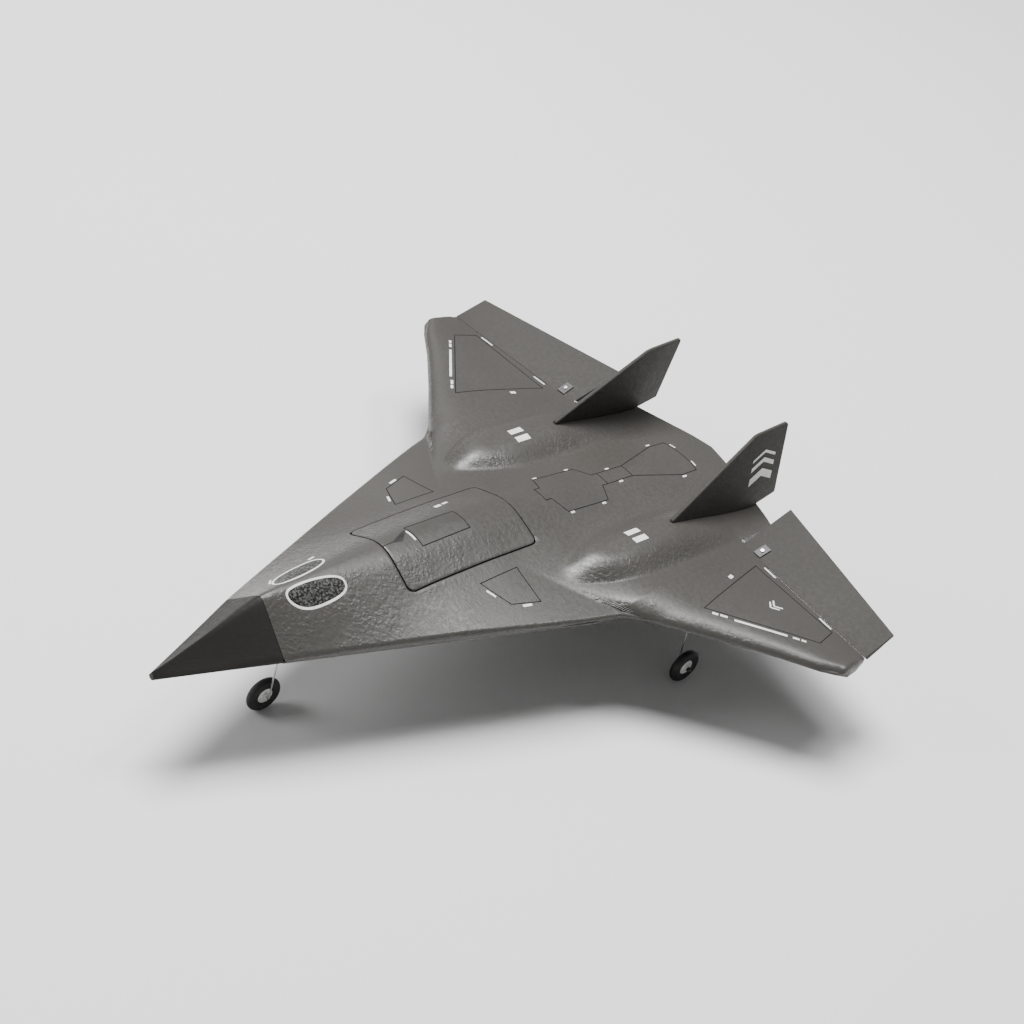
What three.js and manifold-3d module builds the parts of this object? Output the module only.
// Radio-controlled flying wing with twin fins, two ducted fans and wire landing gear.
// Millimetres. Stations run aft from the nose tip along +Y, +X is the model's left, +Z is up.
// Heights are measured from the top of the elevon hinge line; the last lines set the model on its wheels.
import * as THREE from "three";
import { mergeVertices } from "three/addons/utils/BufferGeometryUtils.js";
import Module from "manifold-3d";

const wasm = await Module();
wasm.setup();

// ---- driving dimensions ----
const LENGTH = 757;
const HALF_SPAN = 336;
const GAP = 0.3;
const HINGE_ROOT = new THREE.Vector3(138, 663.2, 0);
const HINGE_TIP = new THREE.Vector3(330, 649.6, 0);
const TRIM_UP = THREE.MathUtils.degToRad(17.5);
const CONE_END = 116;
const KINK = { x: 158, station: 463 };
const TAIL_SIDE = 133.5;
const TAIL_FRONT = HINGE_ROOT.y + 0.3;
const HATCH = { front: 262.5, rear: 433, half: 50, thick: 8 };
const BAY = { front: 272, rear: 424, half: 28, floor: -12 };
const WHEEL = { radius: 19.5, width: 10, rim: 8.5, bore: 1.08 };
const WIRE_RADIUS = 1;
const NOSE_WHEEL = { x: 0, station: 142.9 };
const MAIN_WHEEL = { x: 184, station: 561 };
const AXLE_HEIGHT = -92.5;
const DATUM = WHEEL.radius - AXLE_HEIGHT;
const FAN = { x: 96, station: 533, height: 2, tilt: THREE.MathUtils.degToRad(6.5), bore: 18, wall: 1.6 };
const HORN = { along: 20.5, arm: 14, plate: [10, 16, 1] };
const SERVO_BACK = 62;
const FIN = { x: 97.2, cant: 0.13, thick: 6 };
const FOAM_EDGE = 1.5;

// ---- colours ----
const GREY_FOAM = { color: 0x74726b, roughness: 0.6, metalness: 0 };
const NOSE_GREY = { color: 0x3d3b37, roughness: 0.5, metalness: 0 };
const BLACK_PLASTIC = { color: 0x161616, roughness: 0.5, metalness: 0 };
const WHITE_PLASTIC = { color: 0xe8e8e6, roughness: 0.4, metalness: 0 };
const CLEAR_PLASTIC = { color: 0xc9cbc8, roughness: 0.2, metalness: 0 };
const RUBBER = { color: 0x1b1b1a, roughness: 0.8, metalness: 0 };
const STEEL = { color: 0xc4c4c2, roughness: 0.3, metalness: 1 };
const CARBON = { color: 0x1d1d1f, roughness: 0.35, metalness: 0 };
const BATTERY_WRAP = { color: 0x2b3f78, roughness: 0.35, metalness: 0 };
const STRAP = { color: 0x202020, roughness: 0.9, metalness: 0 };

// ---- small helpers ----
function ramp(...knots) {
  return (t) => {
    const last = knots.length - 1;
    if (t <= knots[0][0]) return knots[0][1];
    if (t >= knots[last][0]) return knots[last][1];
    const i = knots.findIndex((knot) => knot[0] > t);
    const [a, b] = [knots[i - 1], knots[i]];
    return b[1] + ((a[1] - b[1]) * (b[0] - t)) / (b[0] - a[0]);
  };
}

// Averages a ramp over a stretch of stations, which rounds its corners.
function rounded(curve, reach) {
  const steps = 4;
  return (t) => {
    let sum = 0;
    for (let i = -steps; i <= steps; i++) sum += curve(t + (reach * i) / steps);
    return sum / (2 * steps + 1);
  };
}

function toSolid(geometry) {
  const bare = new THREE.BufferGeometry().setAttribute(
    "position",
    (geometry.index ? geometry.toNonIndexed() : geometry).getAttribute("position"),
  );
  const merged = mergeVertices(bare, 1e-4);
  const mesh = { numProp: 3, vertProperties: merged.attributes.position.array, triVerts: merged.index.array };
  return new wasm.Manifold(new wasm.Mesh(mesh));
}

function toGeometry(solid) {
  const mesh = solid.getMesh();
  const corners = new Float32Array(mesh.triVerts.length * 3);
  mesh.triVerts.forEach((vertex, i) => {
    const start = vertex * mesh.numProp;
    corners.set(mesh.vertProperties.subarray(start, start + 3), i * 3);
  });
  const geometry = new THREE.BufferGeometry().setAttribute("position", new THREE.BufferAttribute(corners, 3));
  geometry.computeVertexNormals();
  return geometry;
}

const join = (...pieces) => toGeometry(pieces.map(toSolid).reduce((a, b) => a.add(b)));
const cut = (base, ...tools) => toGeometry(tools.map(toSolid).reduce((a, b) => a.subtract(b), toSolid(base)));
const move = (geometry, x, y, z) => geometry.clone().translate(x, y, z);

function mirrored(geometry) {
  const flat = geometry.index ? geometry.toNonIndexed() : geometry.clone();
  const position = flat.getAttribute("position");
  for (let i = 0; i < position.count; i += 3) {
    const [a, b, c] = [0, 2, 1].map((k) => new THREE.Vector3().fromBufferAttribute(position, i + k));
    [a, b, c].forEach((corner, k) => position.setXYZ(i + k, -corner.x, corner.y, corner.z));
  }
  return new THREE.BufferGeometry().setAttribute("position", position);
}

function box([x0, x1], [y0, y1], [z0, z1]) {
  return move(new THREE.BoxGeometry(x1 - x0, y1 - y0, z1 - z0), (x0 + x1) / 2, (y0 + y1) / 2, (z0 + z1) / 2);
}

// A round bar along X, Y or Z between two values on that axis, centred on the other two.
function bar(axis, radius, [from, to], x, y, z, sides = 20, endRadius = radius) {
  const geometry = new THREE.CylinderGeometry(endRadius, radius, to - from, sides);
  const middle = (from + to) / 2;
  if (axis === "x") return geometry.rotateZ(-Math.PI / 2).translate(middle, y, z);
  if (axis === "y") return geometry.translate(x, middle, z);
  return geometry.rotateX(Math.PI / 2).translate(x, y, middle);
}

// A flat plate with its outline given as [station, height], centred on x = 0.
function plate(outline, thickness, bevel = 0) {
  const shape = new THREE.Shape(outline.map(([y, z]) => new THREE.Vector2(y, z)));
  const geometry = new THREE.ExtrudeGeometry(shape, {
    depth: thickness - 2 * bevel,
    bevelEnabled: bevel > 0,
    bevelThickness: bevel,
    bevelSize: bevel,
    bevelOffset: -bevel,
    bevelSegments: 2,
    curveSegments: 8,
  });
  geometry.translate(0, 0, bevel - thickness / 2);
  const [x, y, z] = [new THREE.Vector3(1, 0, 0), new THREE.Vector3(0, 1, 0), new THREE.Vector3(0, 0, 1)];
  return geometry.applyMatrix4(new THREE.Matrix4().makeBasis(y, z, x));
}

// A wire through points, with its corners bent to a small radius.
function wire(points, radius, steps = 24) {
  const bend = 3;
  const path = new THREE.CurvePath();
  const toward = (from, to) => from.clone().add(to.clone().sub(from).setLength(bend));
  const corners = points.map((point) => new THREE.Vector3(...point));
  let start = corners[0];
  for (let i = 1; i < corners.length - 1; i++) {
    const before = toward(corners[i], corners[i - 1]);
    const after = toward(corners[i], corners[i + 1]);
    path.add(new THREE.LineCurve3(start, before));
    path.add(new THREE.QuadraticBezierCurve3(before, corners[i], after));
    start = after;
  }
  path.add(new THREE.LineCurve3(start, corners[corners.length - 1]));
  const section = new THREE.Shape().absarc(0, 0, radius, 0, 2 * Math.PI);
  return new THREE.ExtrudeGeometry(section, { steps, extrudePath: path, curveSegments: 4 });
}

// A closed block between two height functions, over a plan whose half-width depends on the station.
function slab(stations, halfWidth, columns, top, bottom) {
  const count = columns.length;
  const corners = [];
  for (const station of stations)
    for (const fraction of columns) {
      const x = fraction * halfWidth(station);
      corners.push(x, station, top(x, station), x, station, bottom(x, station));
    }
  const vertex = (row, column, low) => 2 * (row * count + column) + low;
  const faces = [];
  const quad = (a, b, c, d) => faces.push(a, b, c, a, c, d);
  for (let row = 0; row < stations.length - 1; row++) {
    for (let column = 0; column < count - 1; column++)
      for (const low of [0, 1]) {
        const [a, b] = [vertex(row, column, low), vertex(row, column + 1, low)];
        const [c, d] = [vertex(row + 1, column + 1, low), vertex(row + 1, column, low)];
        if (low) quad(a, d, c, b);
        else quad(a, b, c, d);
      }
    const last = count - 1;
    quad(vertex(row, 0, 0), vertex(row + 1, 0, 0), vertex(row + 1, 0, 1), vertex(row, 0, 1));
    quad(vertex(row, last, 1), vertex(row + 1, last, 1), vertex(row + 1, last, 0), vertex(row, last, 0));
  }
  const end = stations.length - 1;
  for (let column = 0; column < count - 1; column++) {
    quad(vertex(0, column, 1), vertex(0, column + 1, 1), vertex(0, column + 1, 0), vertex(0, column, 0));
    quad(vertex(end, column, 0), vertex(end, column + 1, 0), vertex(end, column + 1, 1), vertex(end, column, 1));
  }
  const geometry = new THREE.BufferGeometry();
  geometry.setAttribute("position", new THREE.Float32BufferAttribute(corners, 3));
  geometry.setIndex(faces);
  return geometry;
}

// Column fractions from -1 to 1, closer together near the middle.
function spread(half, power) {
  const side = Array.from({ length: half }, (_, i) => ((i + 1) / half) ** power);
  return [...side.map((value) => -value).reverse(), 0, ...side];
}

// ---- the airframe's surface ----
const planHalfWidth = ramp(
  [0, 3.5], [CONE_END, 47.2], [247, 91.3], [390, 139.6], [422, 151], [450, 157],
  [KINK.station, 161], [479, 175.7], [528, 234], [567, 283.4], [591, 318], [603, 331], [612, 335.2],
  [618, HALF_SPAN], [640, 333], [HINGE_TIP.y, HINGE_TIP.x], [TAIL_FRONT, TAIL_SIDE],
  [716, TAIL_SIDE], [LENGTH, 4],
);
const chine = (station) => Math.min(planHalfWidth(station), KINK.x);
const leadingEdge = ramp(
  [0, 352], [KINK.x, KINK.station], [175.7, 479], [234, 528], [283.4, 567], [318, 591], [HALF_SPAN, 612],
);
const hingeStation = (x) => HINGE_TIP.y + (HINGE_TIP.x - x) * 0.0708;
const ridge = rounded(
  ramp([0, 1.6], [CONE_END, 49.4], [262, 51.2], [366, 47.5], [433, 41], [496, 35], [566, 24], [614, 20.5], [677, 13.5], [702, 11], [LENGTH, 2]),
  10,
);
const domeHeight = rounded(ramp([200, 0], [262, 3], [343, 6], [394, 13], [496, 13], [560, 8], [614, 8], [700, 4], [LENGTH, 0]), 20);
const DOME_WIDTH = 42;
const crestRadius = ramp([200, 0.5], [300, 12]);
const edgeHeight = ramp([0, -2.4], [CONE_END, 2.4]);
const nacelleHeight = rounded(ramp([440, 0], [455, 8], [475, 13], [510, 15], [585, 19.4], [640, 11], [700, 1.5], [727, 0]), 8);
const nacelleWidth = ramp([440, 10], [455, 22], [480, 33], [510, 40], [600, 40], [727, 30]);
const bellyDepth = rounded(ramp([0, 1], [CONE_END, 14], [262, 20], [430, 20], [560, 13], [650, 6], [LENGTH, 0]), 12);

const clamp01 = (value) => THREE.MathUtils.clamp(value, 0, 1);

function chordFraction(x, station) {
  const front = leadingEdge(Math.abs(x));
  return clamp01((station - front) / (hingeStation(Math.abs(x)) - front));
}

// Fullness of the aerofoil along its chord: a rise to the crest, then a soft fall to the hinge.
// The nose of the curve is elliptic where blunt is 1 and a gentle slope where it is 0.
function fullness(fraction, blunt = 1) {
  const crest = 0.25;
  if (fraction >= crest) return 1 - ((fraction - crest) / (1 - crest)) ** 1.6;
  const rise = fraction / crest;
  return blunt * Math.sqrt(1 - (1 - rise) ** 2) + (1 - blunt) * rise ** 2 * (3 - 2 * rise);
}

// The share of the wing's own section that shows: all of it outboard of the kink, none at the centre.
const wingShare = (x) => Math.min(Math.abs(x) / KINK.x, 1) ** 2;

function chordThickness(x) {
  const side = Math.max(Math.abs(x), KINK.x);
  return wingShare(x) * (4 + 0.05 * (hingeStation(side) - leadingEdge(side)));
}

function partingHeight(x, station) {
  const fraction = chordFraction(x, station);
  const wash = 0.014 * Math.max(Math.abs(x) - KINK.x, 0);
  return (edgeHeight(station) - wash) * (1 - fraction) - 3 * fraction;
}

function topHeight(x, station) {
  const side = Math.abs(x);
  const fraction = chordFraction(x, station);
  const wing = (edgeHeight(station) - 0.014 * Math.max(side - KINK.x, 0)) * (1 - fraction);
  const base = wing + chordThickness(x) * fullness(fraction, wingShare(x));
  const centre = edgeHeight(station) * (1 - chordFraction(0, station));
  const crest = crestRadius(station);
  const soft = Math.hypot(side, crest) - crest;
  const across = clamp01(1 - soft / chine(station)) ** 1.05;
  const dome = domeHeight(station);
  const wedge = Math.max(ridge(station) - dome - centre, 0);
  const body = wedge * across + dome * Math.exp(-((x / DOME_WIDTH) ** 2));
  const offset = Math.min(Math.abs(side - FAN.x) / nacelleWidth(station), 1);
  const nacelle = nacelleHeight(station) * (1 - offset ** 2.6) ** 1.5;
  return Math.max(base + body + nacelle, partingHeight(x, station) + FOAM_EDGE);
}

function bottomHeight(x, station) {
  const fraction = chordFraction(x, station);
  const across = clamp01(1 - (Math.abs(x) / chine(station)) ** 2);
  const edge = FOAM_EDGE + 1.5 * fraction;
  return partingHeight(x, station) - edge - 5 * fullness(fraction) - bellyDepth(station) * across;
}

const shellStations = [
  CONE_END + GAP, 160, 205, 247, 290, 340, 390, 422, 443, KINK.station, 479, 496, 512, 528, 547, 567, 591, 603,
  618, 634, HINGE_TIP.y, 653, 656.4, 659.8, TAIL_FRONT, 690, 716, 730, 744, LENGTH,
];
const shellColumns = spread(9, 1.15);
const coneStations = [0, 30, 75, CONE_END - GAP];
const TENON = { half: 8, low: 4, high: 26, reach: 14 };

// ---- scene graph: meshes in the airframe's own coordinates ----
const airframe = new THREE.Group();

function add(name, geometry, finish, parent = airframe) {
  const mesh = new THREE.Mesh(geometry, new THREE.MeshStandardMaterial(finish));
  mesh.name = name;
  parent.add(mesh);
  return mesh;
}

function addPair(name, geometry, finish) {
  add(name + "_left", geometry, finish);
  add(name + "_right", mirrored(geometry), finish);
}

// Places geometry drawn around the origin into the frame of the fan: tilted tail down.
const inFan = (geometry) => geometry.clone().rotateX(-FAN.tilt).translate(FAN.x, FAN.station, FAN.height);

// Places geometry drawn along the left hinge line: x runs outboard along it, y aft, z up.
const SKEW = Math.atan2(HINGE_TIP.y - HINGE_ROOT.y, HINGE_TIP.x - HINGE_ROOT.x);
const onHinge = (geometry) => geometry.clone().rotateZ(SKEW).translate(...HINGE_ROOT.toArray());

// ---- fins ----
const finOutline = (slack) => [
  [586 - slack, 24 - slack], [586 - slack, 31], [700, 98.8], [706, 100], [750, 101.3], [753.8, 98],
  [754.7, 10.7], [702 + slack, 1], [690 + slack, -1 - slack],
];
const finPlace = (geometry) => geometry.rotateY(-FIN.cant).translate(FIN.x, 0, 0);
const finSlot = finPlace(plate(finOutline(GAP), FIN.thick + 2 * GAP));

// ---- ducts ----
const DUCT_END = 118;
const DUCT_SIDES = 20;
const TUNNEL = FAN.bore + FAN.wall + GAP;
// A solid turned about the Y axis from a profile of [radius, y] points.
const turned = (profile, sides) =>
  new THREE.LatheGeometry(profile.map(([radius, y]) => new THREE.Vector2(radius, y)), sides);
const TUNNEL_END = DUCT_END + 2;
const TROUGH = { radius: FAN.bore - 1.6, end: DUCT_END + 80 };
const tunnel = turned(
  [[0, -30], [TUNNEL, -30], [TUNNEL, 22], [TUNNEL - 2.6, TUNNEL_END], [TROUGH.radius, TUNNEL_END],
    [TROUGH.radius, TROUGH.end], [0, TROUGH.end]],
  DUCT_SIDES,
);
const ductTools = [inFan(tunnel), box([FAN.x - 17, FAN.x + 17], [425, 508], [-19, -5])];
const podTube = inFan(bar("y", TUNNEL + 3, [-34, DUCT_END], 0, 0, 0, DUCT_SIDES, TUNNEL + 0.4));
const intakeScoop = box([FAN.x - 20, FAN.x + 20], [446, 505], [-22, 0]);
const aboveParting = slab(
  [430, 470, 500, 540, 590, 640, HINGE_ROOT.y + 20], () => 150, spread(9, 1),
  () => 60, (x, station) => partingHeight(x, station) - FOAM_EDGE,
);

// ---- servo and gear pockets ----
const servoPocket = onHinge(box([14, 47], [-74, -45], [-30, 3]));
const gearMountSize = [13, 9, 5];
const mountBlock = (slack) => {
  const [x, y, z] = gearMountSize;
  return box([-x - slack, x + slack], [-y - slack, y + slack], [-z - slack, z + slack]);
};
const MOUNT_HEIGHT = { nose: -11, main: -5 };
const STRUT_OFFSET = 9;
const noseMount = (slack) => move(mountBlock(slack), STRUT_OFFSET, 146, MOUNT_HEIGHT.nose);
const mainMount = (slack) => move(mountBlock(slack), MAIN_WHEEL.x - STRUT_OFFSET, 557, MOUNT_HEIGHT.main);
const SPAR = { radius: 2, from: 128, to: 285, station: 624, height: -0.5 };
const sparBar = (slack) => bar("x", SPAR.radius + slack, [SPAR.from - slack, SPAR.to + slack], 0, SPAR.station, SPAR.height, 12);

// ---- foam shells ----
const hatchStations = [HATCH.front, 290, 320, 350, 380, 410, HATCH.rear];
const hatchColumns = spread(5, 1);
const hatchBottom = (x, station) => topHeight(x, station) - HATCH.thick;
const hatchHole = slab(
  [HATCH.front - GAP, 290, 320, 350, 380, 410, HATCH.rear + GAP], () => HATCH.half + GAP, hatchColumns,
  (x, station) => topHeight(x, station) + 6, (x, station) => hatchBottom(x, station) - GAP,
);
const bayHole = box([-BAY.half, BAY.half], [BAY.front, BAY.rear], [BAY.floor, 46]);
const tenon = (slack) => box(
  [-TENON.half - slack, TENON.half + slack],
  [CONE_END - TENON.reach - slack, CONE_END + 10],
  [TENON.low - slack, TENON.high + slack],
);
const HALF_GAP = GAP / 2;
const upperBlock = slab(
  shellStations, planHalfWidth, shellColumns, topHeight, (x, station) => partingHeight(x, station) + HALF_GAP,
);
const lowerBlock = slab(
  shellStations, planHalfWidth, shellColumns, (x, station) => partingHeight(x, station) - HALF_GAP, bottomHeight,
);
const bothSides = (...tools) => tools.flatMap((tool) => [tool, mirrored(tool)]);
const sharedHoles = [...bothSides(...ductTools, servoPocket, mainMount(GAP), sparBar(GAP)), noseMount(GAP), bayHole];
const TONGUE = { half: 9, front: 265.4, rear: 280, low: 37.4, high: 40.2 };
const tonguePocket = box(
  [-TONGUE.half - GAP, TONGUE.half + GAP], [TONGUE.front - GAP, BAY.front + 1], [TONGUE.low - 0.6, 46],
);
const MAGNET = { radius: 3, thick: 2, station: 428.5 };
const magnetSeat = hatchBottom(0, MAGNET.station);
const magnetBar = (slack, low, high) =>
  bar("z", MAGNET.radius + slack, [magnetSeat + low, magnetSeat + high], 0, MAGNET.station, 0, 16);

const upperShell = cut(
  join(upperBlock, tenon(0)), hatchHole, tonguePocket, magnetBar(GAP, -3, 1), ...bothSides(finSlot), ...sharedHoles,
);
add("upper_shell", upperShell, GREY_FOAM);

const pods = bothSides(cut(podTube, aboveParting), cut(intakeScoop, aboveParting));
const lowerShell = cut(join(lowerBlock, ...pods), ...sharedHoles);
add("lower_shell", lowerShell, GREY_FOAM);

const coneBlock = slab(
  coneStations, planHalfWidth, spread(8, 1), topHeight, (x, station) => bottomHeight(x, station),
);
add("nose_cone", cut(coneBlock, tenon(GAP)), NOSE_GREY);

// ---- hatch ----
const hatchBlock = slab(hatchStations, () => HATCH.half, hatchColumns, topHeight, hatchBottom);
const FINGER = { x: 5, front: 272, rear: 286 };
const fingerHole = box([-FINGER.x, FINGER.x], [FINGER.front, FINGER.rear], [46.5, 60]);
add("hatch", cut(hatchBlock, fingerHole, magnetBar(GAP, -3, MAGNET.thick + GAP)), GREY_FOAM);
const tongue = box([-TONGUE.half, TONGUE.half], [TONGUE.front, TONGUE.rear], [TONGUE.low, TONGUE.high]);
add("hatch_tongue", tongue, BLACK_PLASTIC);
add("hatch_magnet", magnetBar(0, 0, MAGNET.thick), STEEL);
add("shell_magnet", magnetBar(0, -0.6 - MAGNET.thick, -0.6), STEEL);

// ---- fins, spars and elevons ----
addPair("fin", finPlace(plate(finOutline(0), FIN.thick, 1.2)), GREY_FOAM);
addPair("spar_tube", sparBar(0), CARBON);

const HINGE_LENGTH = HINGE_TIP.distanceTo(HINGE_ROOT);
const ELEVON = { thick: 6, edge: 2.2, rootChord: 75, tipChord: 44.6, rootShift: -6.5, tipShift: -3.9, bevel: 3.5, slot: 0.6 };

function elevonShape() {
  const { thick, edge, rootChord, tipChord, rootShift, tipShift, bevel, slot } = ELEVON;
  const ends = [[0, rootShift, rootChord], [HINGE_LENGTH, HINGE_LENGTH + tipShift, tipChord]];
  const corners = ends.flatMap(([front, rear, chord]) => [
    front, slot, 0, front, slot + bevel, -thick, rear, chord, -0.6 - edge, rear, chord, -0.6,
  ]);
  const geometry = new THREE.BufferGeometry();
  geometry.setAttribute("position", new THREE.Float32BufferAttribute(corners, 3));
  const faces = [[0, 1, 2, 3], [7, 6, 5, 4], [4, 5, 1, 0], [5, 6, 2, 1], [6, 7, 3, 2], [7, 4, 0, 3]];
  geometry.setIndex(faces.flatMap(([a, b, c, d]) => [a, c, b, a, d, c]));
  return geometry;
}

const raised = (geometry) => onHinge(geometry.clone().rotateX(TRIM_UP));
const hornHole = [HORN.along, 0, -HORN.arm];
const [plateX, plateY, plateZ] = HORN.plate;
const plateSpan = [3, 3 + plateY];
const SCREW_RADIUS = 1;
const screwY = (plateSpan[0] + plateSpan[1]) / 2;
const screwTool = (radius, top) => bar("z", radius, [-12, top], HORN.along, screwY, 0, 12);
const plateSides = [HORN.along - plateX / 2, HORN.along + plateX / 2];
const elevon = cut(elevonShape(), screwTool(SCREW_RADIUS + GAP, 4));
addPair("elevon", raised(elevon), GREY_FOAM);

const TOP_SEAT = 0.4;
const backplate = cut(box(plateSides, plateSpan, [TOP_SEAT, TOP_SEAT + plateZ]), screwTool(SCREW_RADIUS + 0.1, 4));
addPair("horn_backplate", raised(backplate), BLACK_PLASTIC);
const HORN_SEAT = -6.5;
const hornBlade = plate([[-3, -17], [3, -17], [15, HORN_SEAT - 1.4], [15, HORN_SEAT - 0.6], [6, HORN_SEAT - 0.6]], 2);
const horn = cut(
  join(box(plateSides, [4.6, 4.6 + plateY - 4], [HORN_SEAT - 1.2, HORN_SEAT]), move(hornBlade, HORN.along, 0, 0)),
  bar("x", 0.9, [HORN.along - 3, HORN.along + 3], 0, 0, hornHole[2], 12),
  screwTool(SCREW_RADIUS + 0.1, 4),
);
addPair("control_horn", raised(horn), BLACK_PLASTIC);
const screwHead = bar("z", 2, [TOP_SEAT + plateZ + 0.1, TOP_SEAT + plateZ + 1.1], HORN.along, screwY, 0, 16);
const screwShank = bar("z", SCREW_RADIUS, [HORN_SEAT - 0.8, TOP_SEAT + plateZ + 0.5], HORN.along, screwY, 0, 12);
addPair("horn_screw", raised(join(screwHead, screwShank)), STEEL);

// ---- servos and linkages ----
const SERVO = { body: [22.6, 23, 12], lug: 4.5, shaftHeight: -4 };
const armPivot = [HORN.along, -SERVO_BACK, SERVO.shaftHeight];
const servoX = [HORN.along + 3.2, HORN.along + 3.2 + SERVO.body[0]];
const servoY = [armPivot[1] - 6, armPivot[1] - 6 + SERVO.body[1] - 6];
const servoZ = [SERVO.shaftHeight - 6, SERVO.shaftHeight + 6];
const servoCase = join(
  box(servoX, servoY, servoZ),
  box([servoX[0] + 4, servoX[0] + 6.5], [servoY[0] - SERVO.lug, servoY[1] + SERVO.lug], servoZ),
  bar("x", 2.2, [HORN.along + 1.4, servoX[0] + 2], 0, armPivot[1], armPivot[2], 16),
);
addPair("servo", onHinge(servoCase), BLACK_PLASTIC);

const swing = (geometry, pivot) => {
  const [x, y, z] = pivot;
  return onHinge(geometry.clone().rotateX(TRIM_UP).translate(x, y, z));
};
const armBlank = join(
  bar("x", 3.2, [-1, 1], 0, 0, 0, 16),
  plate([[-2.6, 0], [-1.8, -HORN.arm - 2.4], [1.8, -HORN.arm - 2.4], [2.6, 0]], 2),
);
const servoArm = cut(armBlank, bar("x", 0.9, [-3, 3], 0, 0, -HORN.arm, 12));
addPair("servo_arm", swing(servoArm, armPivot), WHITE_PLASTIC);

const liftY = HORN.arm * Math.sin(TRIM_UP);
const liftZ = -HORN.arm * Math.cos(TRIM_UP);
const rodStart = [HORN.along, armPivot[1] + liftY, armPivot[2] + liftZ];
const rodEnd = [HORN.along, liftY, liftZ];
const SIDE_STEP = 2.6;
const PIN_REACH = 1.6;
const pushrod = wire(
  [
    [rodStart[0] - PIN_REACH, rodStart[1], rodStart[2]], [rodStart[0] + SIDE_STEP + 1, rodStart[1], rodStart[2]],
    [rodEnd[0] + SIDE_STEP + 1, rodEnd[1], rodEnd[2]], [rodEnd[0] - PIN_REACH, rodEnd[1], rodEnd[2]],
  ],
  0.6, 24,
);
addPair("pushrod", onHinge(pushrod), STEEL);

// ---- root hinge clips ----
const CLIP = { inner: 134, outer: 137.3, front: HINGE_ROOT.y + 1, rear: HINGE_ROOT.y + 7 };
const clip = join(
  box([CLIP.inner, CLIP.outer], [CLIP.front, CLIP.rear], [-3, 1]),
  bar("z", 1.4, [0, 3.4], (CLIP.inner + CLIP.outer) / 2, CLIP.front + 1.6, 0, 12),
);
addPair("hinge_clip", clip, CLEAR_PLASTIC);

// ---- ducted fans ----
const ring = (outer, inner, from, to, sides = DUCT_SIDES) =>
  cut(bar("y", outer, [from, to], 0, 0, 0, sides), bar("y", inner, [from - 1, to + 1], 0, 0, 0, sides));
const MOTOR_RADIUS = 7.5;
const HUB_RADIUS = 8.6;
const statorSpoke = (angle) =>
  box([-0.7, 0.7], [8, 16], [MOTOR_RADIUS + 0.4, FAN.bore + 0.6]).rotateY(angle);
const turns = (count) => Array.from({ length: count }, (_, i) => (i * 2 * Math.PI) / count);
const fanHousing = join(
  ring(FAN.bore + FAN.wall, FAN.bore, -13, 17),
  ring(MOTOR_RADIUS + 1.4, MOTOR_RADIUS + GAP, 6, 17, 20),
  ...turns(4).map(statorSpoke),
);
addPair("fan_housing", inFan(fanHousing), BLACK_PLASTIC);
addPair("fan_motor", inFan(join(bar("y", MOTOR_RADIUS, [2, 20], 0, 0, 0, 20), bar("y", 1, [-9, 3], 0, 0, 0, 12))), STEEL);

const blade = (angle) =>
  new THREE.BoxGeometry(1.1, 9.5, FAN.bore - HUB_RADIUS + 0.2)
    .rotateZ(0.75)
    .translate(0, -4, (FAN.bore - 0.9 + HUB_RADIUS - 1) / 2)
    .rotateY(angle);
const hubPoints = [[0, -13], [4, -11.6], [7, -8.5], [HUB_RADIUS, -5], [HUB_RADIUS, 0.8], [0, 0.8]];
const spinner = turned(hubPoints, 20);
const rotor = cut(join(spinner, ...turns(6).map(blade)), bar("y", 1.08, [-9.5, 2], 0, 0, 0, 16));
addPair("fan_rotor", inFan(rotor), WHITE_PLASTIC);

const nozzleOuter = bar("y", FAN.bore + FAN.wall - GAP, [22, DUCT_END + 1.5], 0, 0, 0, DUCT_SIDES, FAN.bore - 1.4);
const nozzleInner = bar("y", FAN.bore, [21, DUCT_END + 2.5], 0, 0, 0, DUCT_SIDES, FAN.bore - 2.6);
addPair("exhaust_tube", inFan(cut(nozzleOuter, nozzleInner)), BLACK_PLASTIC);

// ---- landing gear ----
const CLEAR_HOLE = WIRE_RADIUS + GAP;
function gearMount(place, x, station, height) {
  return cut(place(0), bar("z", CLEAR_HOLE, [height - 20, height + 3], x, station, 0, 12));
}
const noseStrutX = NOSE_WHEEL.x + STRUT_OFFSET;
const mainStrutX = MAIN_WHEEL.x - STRUT_OFFSET;
add("nose_gear_mount", gearMount(noseMount, noseStrutX, 146, MOUNT_HEIGHT.nose), BLACK_PLASTIC);
addPair("main_gear_mount", gearMount(mainMount, mainStrutX, 557, MOUNT_HEIGHT.main), BLACK_PLASTIC);

const AXLE_REACH = 9.5;
const STRUT_STEPS = 20;
add("nose_strut", wire(
  [[noseStrutX, 146, MOUNT_HEIGHT.nose + 2], [noseStrutX, NOSE_WHEEL.station, AXLE_HEIGHT],
    [-AXLE_REACH, NOSE_WHEEL.station, AXLE_HEIGHT]], WIRE_RADIUS, STRUT_STEPS,
), STEEL);
addPair("main_strut", wire(
  [[mainStrutX, 557, MOUNT_HEIGHT.main + 2], [mainStrutX, MAIN_WHEEL.station, AXLE_HEIGHT],
    [MAIN_WHEEL.x + AXLE_REACH, MAIN_WHEEL.station, AXLE_HEIGHT]], WIRE_RADIUS, STRUT_STEPS,
), STEEL);

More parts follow.
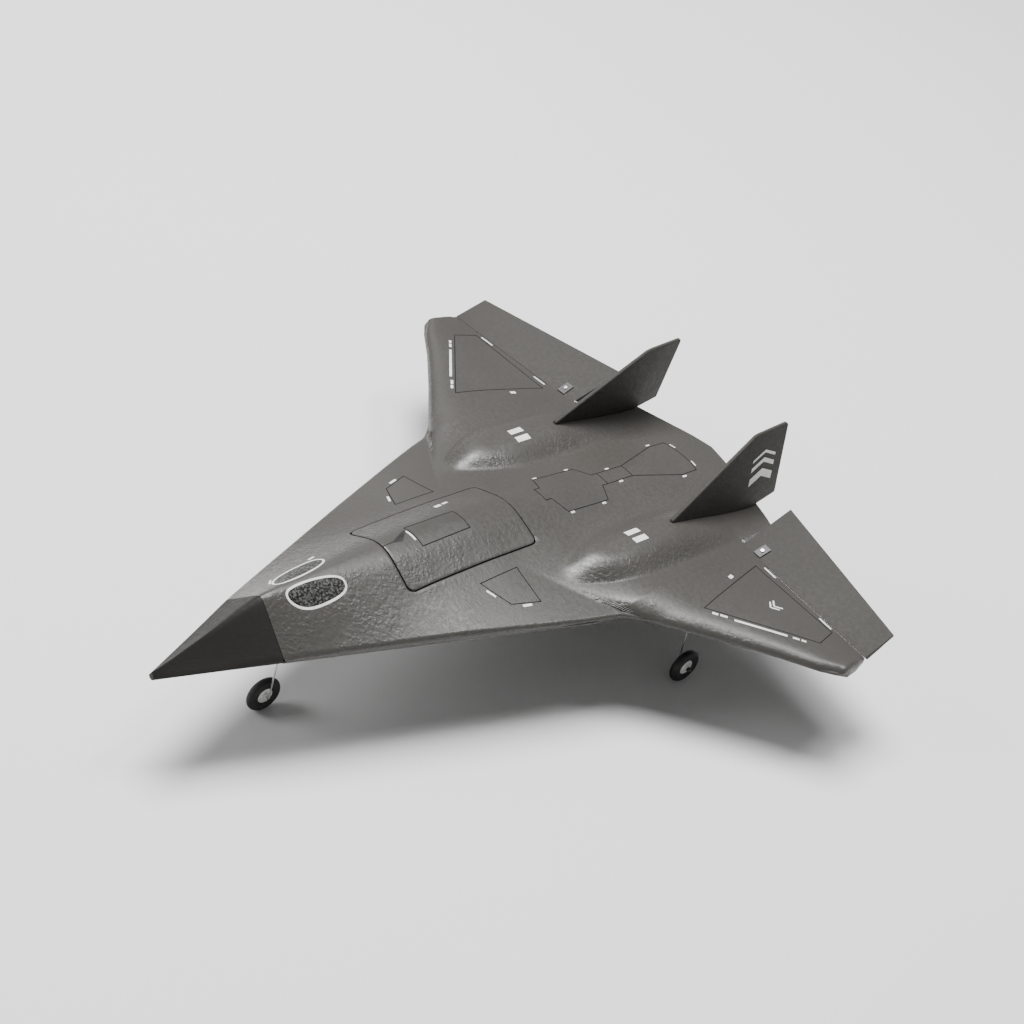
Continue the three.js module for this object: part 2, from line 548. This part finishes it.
function tyreGeometry() {
  const { radius, width, rim } = WHEEL;
  const half = width / 2;
  const profile = [
    [rim + GAP, -half + 2], [radius - 5, -half], [radius - 1.5, -half + 1.4], [radius, -1.6],
    [radius, 1.6], [radius - 1.5, half - 1.4], [radius - 5, half], [rim + GAP, half - 2],
  ];
  return turned([...profile, profile[0]], 24).rotateZ(-Math.PI / 2);
}

function hubGeometry() {
  const { rim, bore } = WHEEL;
  const profile = [[bore, -5.2], [3.2, -5.2], [3.6, -2.6], [rim, -2.6], [rim, 2.6], [3.6, 2.6], [3.2, 5.2], [bore, 5.2]];
  return turned([...profile, profile[0]], 16).rotateZ(-Math.PI / 2);
}

const collar = cut(bar("x", 2.6, [5.6, 8.4], 0, 0, 0, 16), bar("x", WIRE_RADIUS + 0.08, [5, 9], 0, 0, 0, 16));
const wheelPlaces = { nose: [NOSE_WHEEL, -1], left: [MAIN_WHEEL, 1] };
for (const [side, [wheel, outward]] of Object.entries(wheelPlaces)) {
  const place = (geometry) => move(geometry, wheel.x, wheel.station, AXLE_HEIGHT);
  const capped = outward > 0 ? collar : mirrored(collar);
  for (const [name, geometry, finish] of [
    ["tyre", tyreGeometry(), RUBBER], ["hub", hubGeometry(), WHITE_PLASTIC], ["axle_collar", capped, BLACK_PLASTIC],
  ]) {
    add(`${side}_${name}`, place(geometry), finish);
    if (side === "left") add(`right_${name}`, mirrored(place(geometry)), finish);
  }
}

// ---- power and radio in the bay ----
const onFloor = BAY.floor + GAP;
add("battery", box([-17, 17], [300, 372], [onFloor, onFloor + 22]), BATTERY_WRAP);
const strapTop = onFloor + 22 + 1.5;
const strap = cut(
  box([-19, 19], [328, 344], [onFloor, strapTop]),
  box([-17 - GAP, 17 + GAP], [320, 350], [onFloor - 1, onFloor + 22 + GAP]),
);
add("battery_strap", strap, STRAP);
add("receiver", box([-11, 11], [276, 294], [onFloor, onFloor + 10]), BLACK_PLASTIC);
addPair("speed_controller", box([3, 21], [380, 416], [onFloor, onFloor + 7]), BLACK_PLASTIC);

// ---- stand the model on its wheels, centred over the origin ----
airframe.position.set(0, -LENGTH / 2, DATUM);
const model = new THREE.Group();
model.add(airframe);

export default model;
